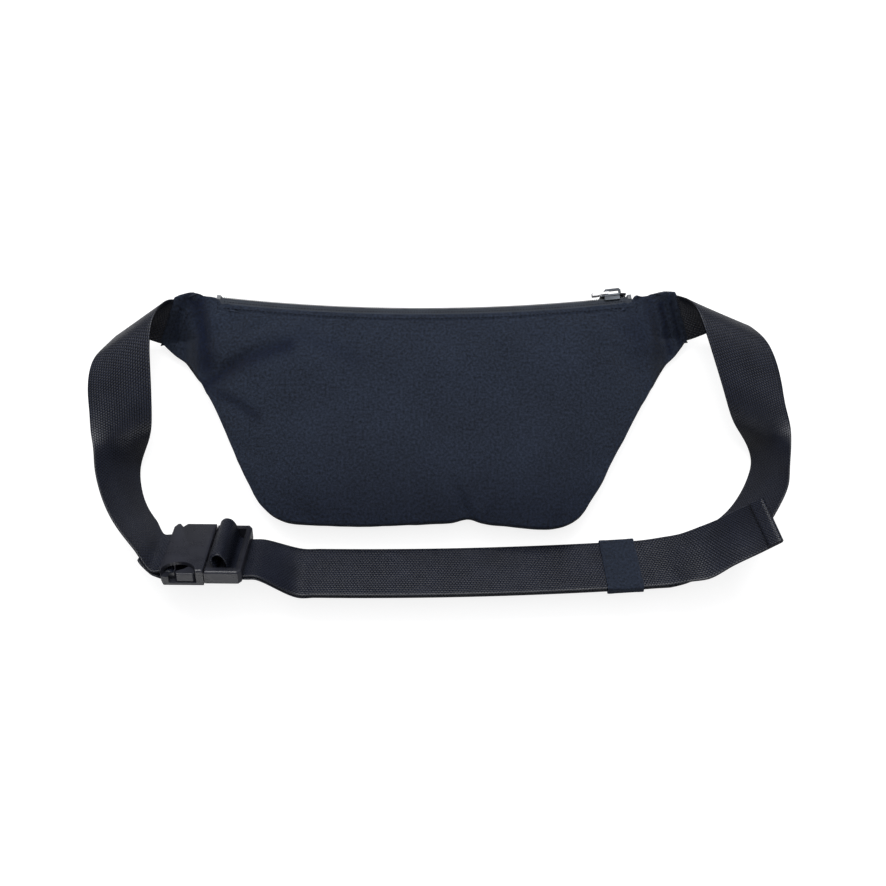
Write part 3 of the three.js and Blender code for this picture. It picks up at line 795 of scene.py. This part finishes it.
def turned_edge(grid, side, row, depth=1.6, steps=4):
    """Extra rows that roll an edge row inwards, as cloth turns in at a seam."""
    normal = grid_normals(grid) * side
    inwards = unit(grid[row] - grid[row + (1 if row == 0 else -1)])
    rolled = []
    for k in range(1, steps + 1):
        turn = math.pi / 2 * k / steps
        move = inwards * math.sin(turn) * depth * 0.5 - normal[row] * (1 - math.cos(turn)) * depth
        rolled.append(grid[row] + move)
    return np.array(rolled)


HEM_FOLD = (0.95, 4.0)  # radius of the zip hem's fold, and how far the cloth then runs back


def folded_edge(grid, side, radius, back, steps=5):
    """Extra rows that fold the top edge under itself."""
    normal = (grid_normals(grid) * side)[-1]
    out = unit(grid[-1] - grid[-2])
    rows = []
    for k in range(1, steps + 1):
        turn = math.pi * k / steps
        rows.append(grid[-1] + out * math.sin(turn) * radius - normal * (1 - math.cos(turn)) * radius)
    for k in range(1, 4):
        rows.append(rows[steps - 1] - out * back * k / 3)
    return np.array(rows)


def panel_piece(name, grid, side, node):
    low = turned_edge(grid, side, 0)[::-1]
    high = folded_edge(grid, side, *HEM_FOLD)
    full = np.concatenate([low, grid, high])
    full_weave = np.pad(weave, ((len(low), len(high)), (0, 0), (0, 0)), "edge")
    piece = make_sheet(name, full, FABRIC, side, shell_cloth, "bag", "shell_fabric", full_weave)
    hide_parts(node)
    return piece


# Painted shade on the back panel: where folds and sewn rows keep the light out, and in the last line
# darker towards the lower seam. Each is a line in plan, then width and strength.
PAINTED_FOLD_SHADE = [
    ([(-163.5, 95), (-160, 82), (-157, 66), (-154, 48)], 6.5, 0.85),
    ([(-155, 35.5), (-145, 41), (-135, 46.5), (-119, 53.5), (-100, 60)], 5.5, 0.75),
    ([(-150, 32), (-131, 21.5), (-120, 13.5)], 4.0, 0.45),
    ([(-92, 66), (-73, 59), (-56, 50)], 7.0, 0.22),
    ([(-169.5, 91), (-178, 69)], 2.2, 0.45),
    ([(-164.5, 92), (-173, 62)], 1.6, 0.5),
    ([(143, 89), (151.5, 61)], 2.2, 0.9),
    ([(148, 91.5), (158.5, 67)], 1.6, 0.8),
    ([(136, 92), (138, 76), (142, 60)], 5.0, 0.5),
    ([(126, 74), (131, 62)], 10.0, 0.4),
    # Painted shade that darkens the panel towards its lower seam.
    ([(-85, -60), (0, -60), (85, -60)], 36.0, 0.45),
]


def paint_fold_shade(piece):
    """Stores how much painted shade each point of a panel gets, as its 'fold' attribute, for its cloth
    to darken.
    """
    mesh = piece.data
    places = np.empty(len(mesh.vertices) * 3, np.float32)
    mesh.vertices.foreach_get("co", places)
    x, y = places.reshape(-1, 3)[:, :2].T / MM
    fold = np.zeros(len(x))
    for points, width, strength in PAINTED_FOLD_SHADE:
        gap, _ = from_curve(x, y, points)
        fold = np.maximum(fold, strength * np.exp(-((gap / width) ** 2)))
    mesh.attributes.new("fold", "FLOAT", "POINT").data.foreach_set("value", fold.astype(np.float32))


# Only the back panel gets painted shade in its folds.
paint_fold_shade(panel_piece("back_panel_cloth", back_grid, 1, "back_panel"))
panel_piece("front_panel_cloth", front_grid, -1, "front_panel")


# ---------- Bag: gusset, wing seams and linings ----------
def wall_piece(name, back_edge, front_edge, bulge, steps=12):
    """A strip of cloth between the panels' turned edges, standing out by bulge at its middle."""
    tangent = tangents(back_edge + front_edge)
    height = back_edge - front_edge
    outwards = unit(np.cross(tangent, height))
    tall = np.linalg.norm(height, axis=1, keepdims=True)
    rows = []
    for t in np.linspace(0, 1, steps):
        stand = bulge * np.minimum(tall / 12, 1) * 4 * t * (1 - t) - 0.25
        rows.append(front_edge + height * t + outwards * stand)
    pattern = weave_grid(lengths_along(back_edge), np.linspace(0, 1, steps)[:, None] * tall.ravel())
    return make_sheet(name, np.array(rows), 0.6, 1, shell_cloth, "bag", "shell_fabric", pattern)


back_low, front_low = turned_edge(back_grid, 1, 0)[-1], turned_edge(front_grid, -1, 0)[-1]
gusset = wall_piece("gusset_cloth", back_low, front_low, 1.2)
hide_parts("gusset")
back_high = folded_edge(back_grid, 1, *HEM_FOLD)[3]
front_high = folded_edge(front_grid, -1, *HEM_FOLD)[3]
left_of_zip = back_grid[-1, :, 0] < ZIP_FROM + 1
right_of_zip = back_grid[-1, :, 0] > ZIP_TO + 2.5
for label, part in [("left", left_of_zip), ("right", right_of_zip)]:
    wall_piece(f"wing_seam_{label}", front_high[part], back_high[part], 0.4)


def inner_grid(grid, inset, wave):
    """A lining: the panel's shape without its rims, set inwards and softly wrinkled."""
    inner = grid[6:-9:3, 14:-14:4].copy()
    x, y = inner[..., 0], inner[..., 1]
    folds = np.sin(x / 9 + wave) * np.sin(y / 14) + 0.5 * np.sin(x / 4.3 - y / 7 + wave)
    inner[..., 2] += inset + 0.25 * folds * np.sign(inset)
    return inner


def lining_piece(name, grid, inset, side, wave, node):
    inner = inner_grid(grid, inset, wave)
    piece = make_sheet(
        name, inner, 0.4, side, lining_cloth, "bag", "lining_fabric", inner[..., :2].copy()
    )
    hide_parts(node)


lining_piece("lining_back_cloth", back_grid, -3.0, 1, 0.0, "lining_back")
lining_piece("lining_front_cloth", front_grid, 3.0, -1, 1.7, "lining_front")


def pocket_piece():
    """The flat pocket behind the back panel, with a hemmed mouth."""
    low = np.linspace((-70, -27), (48, -27), 60)
    high = np.linspace((-90, 40), (62, 40), 60)
    share = np.concatenate([np.linspace(0, 0.93, 26), [0.95, 0.97, 0.985, 1.0]])[:, None, None]
    plan = low + (high - low) * share
    hem = 0.3 * smoothstep(share[..., 0], 0.94, 0.955) * np.ones((1, 60))
    ripple = 0.15 * np.sin(plan[..., 0] / 8) * np.sin(plan[..., 1] / 11)
    grid = np.dstack([plan, 25.4 + ripple + hem])
    piece = make_sheet(
        "slip_pocket_cloth", grid, 0.4, 1, lining_cloth, "bag", "lining_fabric", plan.copy()
    )
    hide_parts("slip_pocket")


pocket_piece()


# ---------- Bag: stitching ----------
def height_map(grid):
    rows, columns = grid.shape[:2]
    return BVHTree.FromPolygons(grid.reshape(-1, 3).tolist(), grid_faces(rows, columns))


back_map = height_map(back_grid)


def lay_on_back(points):
    """Drops plan points onto the back panel; gives places and normals."""
    places, normals = [], []
    for x, y in points:
        place, normal, _, _ = back_map.ray_cast(Vector((x, y, 90)), Vector((0, 0, -1)))
        if place is None:
            place, normal, _, _ = back_map.find_nearest(Vector((x, y, 30)))
        places.append(place)
        normals.append(normal if normal.z > 0 else -normal)
    return np.array(places), np.array(normals)


def stitch_row(name, ends, steps=24, **sizes):
    """A straight or curved row of stitches on the back, through plan points."""
    places, normals = lay_on_back(spline(ends, steps))
    return make_stitches(name, places, normals, "bag", **sizes)


def inner_row(grid, distance):
    """The grid's line at a distance from the top edge, between the zip's ends."""
    row = np.abs(from_top[:, COLUMNS // 2] - distance).argmin()
    keep = (grid[row, :, 0] > ZIP_FROM + 1.5) & (grid[row, :, 0] < ZIP_TO + 2)
    return grid[row][keep], grid_normals(grid)[row][keep]


for label, grid, side in [("back", back_grid, 1), ("front", front_grid, -1)]:
    line, normals = inner_row(grid, 2.7)
    make_stitches(f"zip_stitch_{label}", line, normals * side, "bag", pitch=2.6, length=2.0)


def tab_rows(label, low, high, along, count=2):
    """Rows of stitches that hold the belt in a tab, parallel to its end."""
    low, high, along = np.array(low, float), np.array(high, float), np.array(along, float)
    for k in range(count):
        shift = along * (4.4 + 5.2 * k)
        ends = [low + (high - low) * 0.07 + shift, low + (high - low) * 0.93 + shift]
        stitch_row(f"tab_stitch_{label}_{k}", ends, pitch=2.6, length=2.0)


tab_rows("left", *LEFT_TAB, unit(np.array([23.2, -14.7])))
tab_rows("right", *RIGHT_TAB, unit(np.array([-24.5, -12.9])))
stitch_row("zip_end_stitch_left", [(ZIP_FROM - 1.6, 83), (ZIP_FROM - 1.6, 91.5)], pitch=2.4)
stitch_row("zip_end_stitch_right", [(ZIP_TO + 5.6, 83), (ZIP_TO + 5.6, 92)], pitch=2.4)


# ---------- Zip ----------
# Across the zip: distance outwards, and height above its middle plane.
TAPE_SECTION = np.array([
    (-9.5, 3.5), (-7.5, 3.6), (-5.6, 3.65), (-4.6, 3.6), (-3.8, 3.45), (-3, 3.2), (-2.2, 2.95),
    (-1.4, 2.72), (-0.7, 2.6),
])


def zip_tape(label, side):
    """A woven tape, tucked under the panel's fold and bent down to its row of coil."""
    xs = np.linspace(ZIP_FROM - 2.6, ZIP_TO + 2.8, 190)
    rows = [zip_point(xs, outward, side * height) for outward, height in TAPE_SECTION]
    pattern = weave_grid(xs, lengths_along(TAPE_SECTION)[:, None])
    piece = make_sheet(
        f"zip_tape_{label}_woven", np.array(rows), 0.5, side, zip_tape_cloth, "bag", "zip_tape",
        pattern,
    )
    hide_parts(f"zip_tape_{label}")
    line = zip_point(xs[3:-3], -2.6, side * 3.1)
    lift = np.tile([0, 0.35, side * 0.94], (len(line), 1))
    make_stitches(
        f"zip_coil_stitch_{label}", line, lift, "bag", "zip_tape", pitch=1.9, length=1.25,
        radius=0.17,
    )


COIL_PITCH, COIL_RADIUS, COIL_HEIGHT = 1.35, 0.74, 1.5


def zip_coil(label, side):
    """Nylon wire wound round its row, one turn to a tooth."""
    steps = 10
    turns = int((ZIP_TO - ZIP_FROM) / COIL_PITCH)
    t = np.arange(turns * steps + 1) / steps
    angle = 2 * math.pi * t + (0 if side > 0 else math.pi)
    x = ZIP_FROM + 0.4 + t * COIL_PITCH
    height = side * COIL_HEIGHT
    wire = zip_point(x, COIL_RADIUS * np.cos(angle), height + COIL_RADIUS * np.sin(angle))
    core = zip_point(np.linspace(ZIP_FROM, ZIP_TO, 120), 0.0, height)
    parts = [tube(wire, 0.34, 6, (0.05, 0.7, 0.7)), tube(core, 0.42, 8, (0, 0, 1))]
    piece = make_piece(
        f"zip_coil_{label}_wound", *join_meshes(parts), coil_nylon, "bag", "zip_coil"
    )
    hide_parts(f"zip_coil_{label}")


for label, side in [("back", 1), ("front", -1)]:
    zip_tape(label, side)
    zip_coil(label, side)


# ---------- Hard pieces from the CAD ----------
def finish_hard(node, material, edge):
    """Gives a moulded or cast CAD node soft edges and its material."""
    piece = bpy.data.objects[node]
    for place in piece.material_slots:
        place.material = material
    soften_edges = piece.modifiers.new("edges", "BEVEL")
    soften_edges.width = edge * MM
    soften_edges.segments = 3
    soften_edges.limit_method = "ANGLE"
    soften_edges.angle_limit = math.radians(35)
    shading = piece.modifiers.new("shading", "WEIGHTED_NORMAL")
    shading.keep_sharp = True


for node in ("buckle_female", "buckle_male"):
    finish_hard(node, buckle_acetal, 0.9)
for node in ("buckle_prong_upper", "buckle_prong_lower"):
    finish_hard(node, buckle_acetal, 0.35)
for node in ("zip_stop_left", "zip_stop_right"):
    finish_hard(node, coil_nylon, 0.4)
finish_hard("zip_slider", slider_lacquer, 0.22)
finish_hard("zip_puller", puller_steel, 0.25)


# ---------- Straps ----------
WEB_WIDTH, WEB_THICK, STRAND_PITCH = 38.0, 1.4, 2.2
RUN_X, RUN_Y, RUN_Z, RUN_RADIUS = -50.0, -86.4, 15.0, 2800.0
RUN_BANK = math.radians(38)
KEEPER_X, KEEPER_LENGTH = 114.0, 22.0
BUCKLE_AT = np.array([-154, -74.3, 24])
BUCKLE_BANK, BUCKLE_YAW = math.radians(50), math.radians(-0.5)


def from_buckle(points):
    """Points in the buckle's own frame, moved to where it lies."""
    points = np.asarray(points, float)
    c, s = math.cos(-BUCKLE_BANK), math.sin(-BUCKLE_BANK)
    x, y, z = points[..., 0], points[..., 1], points[..., 2]
    y, z = y * c - z * s, y * s + z * c
    c, s = math.cos(BUCKLE_YAW), math.sin(BUCKLE_YAW)
    return np.stack([x * c - y * s, x * s + y * c, z], -1) + BUCKLE_AT


def buckle_sections(path):
    """Belt sections at points of the buckle's X and Z."""
    return [from_buckle([(x, WEB_WIDTH / 2, z), (x, -WEB_WIDTH / 2, z)]) for x, z in path]


def on_run(x, across, lift):
    """A point of the doubled belt below the bag."""
    turn = np.arcsin((np.asarray(x, float) - RUN_X) / RUN_RADIUS)
    out = across * math.cos(RUN_BANK) - lift * math.sin(RUN_BANK)
    r = RUN_RADIUS + out
    z = RUN_Z + across * math.sin(RUN_BANK) + lift * math.cos(RUN_BANK)
    x, y = RUN_X + r * np.sin(turn), RUN_Y + RUN_RADIUS - r * np.cos(turn)
    return np.stack(np.broadcast_arrays(x, y, z), -1)


def run_sections(xs, lift):
    return [on_run(x, np.array([-WEB_WIDTH / 2, WEB_WIDTH / 2]), lift) for x in xs]


# Sections of the belt: its inner edge, then its outer edge.
LEFT_ROLL = [
    [(-168, 88.7, 23.6), (-181, 67, 6)], [(-171.4, 89.5, 26.4), (-185, 67, 5)],
    [(-174.1, 90.2, 27.8), (-188.8, 67, 4)], [(-177, 89.6, 31.5), (-212, 72, 14)],
    [(-180.5, 85, 37), (-216.5, 64, 23)], [(-182.5, 79, 42), (-219, 57, 31)],
    [(-184.5, 71, 45), (-223, 49, 37)], [(-185.5, 57, 45), (-225, 39, 39)],
    [(-185, 40, 42), (-225.5, 27, 38)], [(-185, 22, 37), (-224.5, 15, 36)],
    [(-187, 4, 27), (-223.5, 2, 35)], [(-195, -6, 11), (-220.5, -9, 37)],
    [(-200, -18, 5), (-219, -23, 37)], [(-198, -34, 4), (-213, -42, 37)],
    [(-193, -45, 5), (-204.5, -57, 38)], [(-187, -52.5, 7), (-191.5, -72.5, 39)],
]
BAR_PATH = [
    (-27, 0.8), (-22, 0.5), (-17, 0.4), (-14.4, -0.6), (-13.6, -2.8), (-14.4, -4.9),
    (-17, -5.7), (-21, -4.8), (-26, -2.4),
]
RIGHT_ROLL = [
    [(145, 92, 23.6), (156.5, 69.1, 6)], [(148, 93, 26.4), (160, 69.1, 5)],
    [(150.7, 93.6, 27.8), (163.6, 69.1, 4)], [(155.8, 91, 31.3), (190, 77, 14)],
    [(158.5, 87, 37), (198, 75, 23)], [(161, 82, 42), (203, 68, 31)],
    [(163, 75, 45), (207.5, 60, 37)], [(166.5, 64, 45), (211.5, 49, 39)],
    [(172, 47, 42), (215, 35, 38)], [(178.5, 28, 37), (217, 20, 37)],
    [(185.5, 11, 28), (220.5, 7, 35)], [(195, 3, 15), (220, -2, 37)],
    [(202, -5, 6), (219, -10, 38)], [(204, -14, 4), (218, -21, 37)],
    [(201, -24, 4), (217, -32, 37)], [(196, -34, 4), (210, -46, 37)],
    [(188, -45, 3.5), (201, -60, 36)], [(177, -54, 3), (188, -73, 34)],
    [(163, -61, 2.5), (169, -85, 31)], [(148, -66, 2.2), (151, -94, 28)],
]
RUN_STEPS = [130, 100, 70, 40, 10, -20, -50, -80, -92]
LADDER_PATH = [
    (38, -5.2), (32, -4.9), (25, -4.8), (18, -4.6), (14.6, -3.6), (13.5, -0.5), (13.2, 4),
    (11.4, 8.3), (11.8, 11.6), (14.4, 13.7), (17.6, 13.1), (19.8, 10), (20.9, 5.5),
    (21.2, 1.5), (22.4, -1.2), (25.5, -2.6), (31, -2.8), (38, -3),
]
TAIL_END = [
    [(143, -63, 6), (142, -94, 29)], [(154, -61, 9), (154, -92, 33)],
    [(165, -57, 13), (166, -90, 36)], [(177, -52, 19), (180, -82, 40.5)],
    [(188, -46, 27), (194, -75, 46)], [(200, -41, 37), (206, -68.5, 53)],
]
HEM = 8.5  # length of belt folded under at its loose end
FOLD_PITCH = WEB_THICK + 0.15  # from the belt's middle to that of the layer folded under it
FILL_STEPS, RELAX_PASSES = 12, 30
# Filled sections that relax: from the wing's tab to the buckle, and to the lower strand.
SHORT_FREE, LONG_FREE = (30, 176), (30, 232)
DOUBLED_END = [186, 184]  # filled sections of the short belt that its doubled end lies on


def strip_normals(sections):
    along = np.gradient(sections.mean(axis=1), axis=0)
    return unit(np.cross(sections[:, 0] - sections[:, 1], along))


def offset_strip(sections, distance):
    sections = np.asarray(sections, float)
    return sections + strip_normals(sections)[:, None] * distance


def fill_strip(sections):
    sections = np.asarray(sections, float)
    return np.stack([spline(sections[:, k], FILL_STEPS) for k in (0, 1)], axis=1)


def relax(sections, free_from, free_to):
    """Evens out a strip between two of its sections, as stiff webbing does."""
    sections = sections.copy()
    for _ in range(RELAX_PASSES):
        middle = (sections[:-2] + sections[2:]) / 2
        sections[1:-1][free_from:free_to] += 0.5 * (middle - sections[1:-1])[free_from:free_to]
    return sections


def across_profile(width, thickness):
    """(across share, half thickness) over the belt, with round selvedges."""
    edge = 0.7
    near = np.array([0.0, 0.06, 0.2, 0.42, 0.7])
    inner = np.linspace(edge, width - edge, 20)[1:-1]
    places = np.concatenate([near, inner, width - near[::-1]])
    from_edge = np.minimum(places, width - places)
    round_ = np.sqrt(np.clip(1 - (1 - np.minimum(from_edge / edge, 1)) ** 2, 0, 1))
    bead = 0.05 * np.exp(-(((from_edge - 1.1) / 0.8) ** 2))
    return places / width, thickness / 2 * round_ + bead * (from_edge > 0)


def ribbon(name, sections, body):
    """A belt along filled sections."""
    share, half = across_profile(WEB_WIDTH, WEB_THICK)
    normal = strip_normals(sections)[:, None]
    layer = sections[:, :1] + (sections[:, 1:] - sections[:, :1]) * share[:, None]
    top = layer + normal * half[:, None]
    under = (layer - normal * half[:, None])[:, -2:0:-1]
    grid = np.concatenate([top, under], axis=1)
    rows, ring = grid.shape[:2]
    faces = grid_faces(rows, ring, closed=True)
    faces += [list(range(ring))[::-1], list(range((rows - 1) * ring, rows * ring))]
    travelled = lengths_along(sections.mean(axis=1))
    across = np.concatenate([share, share[-2:0:-1]]) * WEB_WIDTH
    pattern = weave_grid(travelled[:, None], across)
    return make_piece(
        name, grid.reshape(-1, 3), faces, belt_webbing, body, "belt_webbing",
        pattern.reshape(-1, 2),
    )


def cross_stitches(name, sections, at, body, **sizes):
    """A row of stitches across the outer face of a belt, at one of its filled sections."""
    share = np.linspace(0.05, 0.95, 12)[:, None]
    normal = strip_normals(sections)[at]
    line = sections[at, 0] + (sections[at, 1] - sections[at, 0]) * share
    line = line + normal * (WEB_THICK / 2)
    return make_stitches(
        name, line, np.tile(normal, (len(line), 1)), body, "belt_webbing", **sizes
    )


def short_strap():
    bar = buckle_sections(BAR_PATH)
    filled = relax(fill_strip([*LEFT_ROLL, *bar]), *SHORT_FREE)
    doubled = offset_strip(filled, STRAND_PITCH)[DOUBLED_END]
    ending = fill_strip([*bar[-2:], *doubled])[FILL_STEPS + 1 :]
    piece = ribbon("belt_short", np.concatenate([filled, ending]), "bag")
    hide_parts("strap_short")


def long_strap():
    """From the right wing, down, left along the lower strand, round the ladder bars and back."""
    tail = run_sections(RUN_STEPS[::-1], STRAND_PITCH / 2)
    sections = [
        *RIGHT_ROLL, *run_sections(RUN_STEPS, -STRAND_PITCH / 2), *buckle_sections(LADDER_PATH),
        *tail, *TAIL_END,
    ]
    filled = relax(fill_strip(sections), *LONG_FREE)
    travelled = lengths_along(filled.mean(axis=1))
    start = np.abs(travelled - (travelled[-1] - HEM)).argmin()
    under = offset_strip(filled, -FOLD_PITCH)[start:][::-1]
    turn = offset_strip(filled, -FOLD_PITCH / 2)[-1:]
    tangent = unit(filled[-1:].mean(axis=1) - filled[-3:-2].mean(axis=1))
    fold = turn + tangent[:, None] * 0.9
    filled = np.concatenate([filled, fold, under])
    piece = ribbon("belt_long", filled, None)
    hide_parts("strap_long")
    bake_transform(piece)
    return filled, start


short_strap()
long_line, hem_start = long_strap()
cross_stitches("tail_hem_stitch", long_line, hem_start + 2, "bag", pitch=2.5, length=1.9)


# ---------- Keeper ----------
KEEPER_MARGIN, KEEPER_CORNER = 0.7, 1.0


def keeper_loop(margin, corner, straight=26, turned=5):
    """(across, lift) points round both strands, from the middle of the lower face."""
    half_wide, half_high = WEB_WIDTH / 2 + margin, STRAND_PITCH / 2 + WEB_THICK / 2 + margin
    loop = [(t, -half_high) for t in np.linspace(0, half_wide - corner, straight // 2)]
    for start, (cx, cy) in enumerate([(1, -1), (1, 1), (-1, 1), (-1, -1)]):
        middle = np.array([cx * (half_wide - corner), cy * (half_high - corner)])
        for k in range(turned + 1):
            turn = math.pi / 2 * (start - 1 + k / turned)
            loop.append(middle + corner * np.array([math.cos(turn), math.sin(turn)]))
        if start == 1:
            along = np.linspace(half_wide - corner, -half_wide + corner, straight + 2)[1:-1]
            loop += [(t, half_high) for t in along]
    loop += [(t, -half_high) for t in np.linspace(-half_wide + corner, 0, straight // 2)]
    return np.array(loop)


def keeper_piece():
    loop = keeper_loop(KEEPER_MARGIN, KEEPER_CORNER)
    ends = np.array([0, 0.25, 0.6, 1.2, 2.2, 3.0, 3.4, 3.9, 5, 7, 9.5])
    xs = KEEPER_X + np.concatenate([ends - 11, [0], 11 - ends[::-1]])
    from_edge = KEEPER_LENGTH / 2 - np.abs(xs - KEEPER_X)
    hem = 0.1 * (1 - smoothstep(from_edge, 3.0, 3.9)) * smoothstep(from_edge, -0.3, 0.5)
    away = unit(loop - loop * np.array([0.93, 0.3]))
    grid = []
    for (across, lift), (out_a, out_l) in zip(loop, away):
        grid.append(on_run(xs, across + out_a * hem, lift + out_l * hem))
    pattern = weave_grid(xs, lengths_along(loop)[:, None])
    piece = make_sheet(
        "keeper_band", np.array(grid), 0.6, -1, shell_cloth, "keeper", "shell_fabric", pattern
    )
    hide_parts("strap_keeper")


keeper_piece()


# ---------- Camera, light and floor ---------
make_camera()
make_studio()
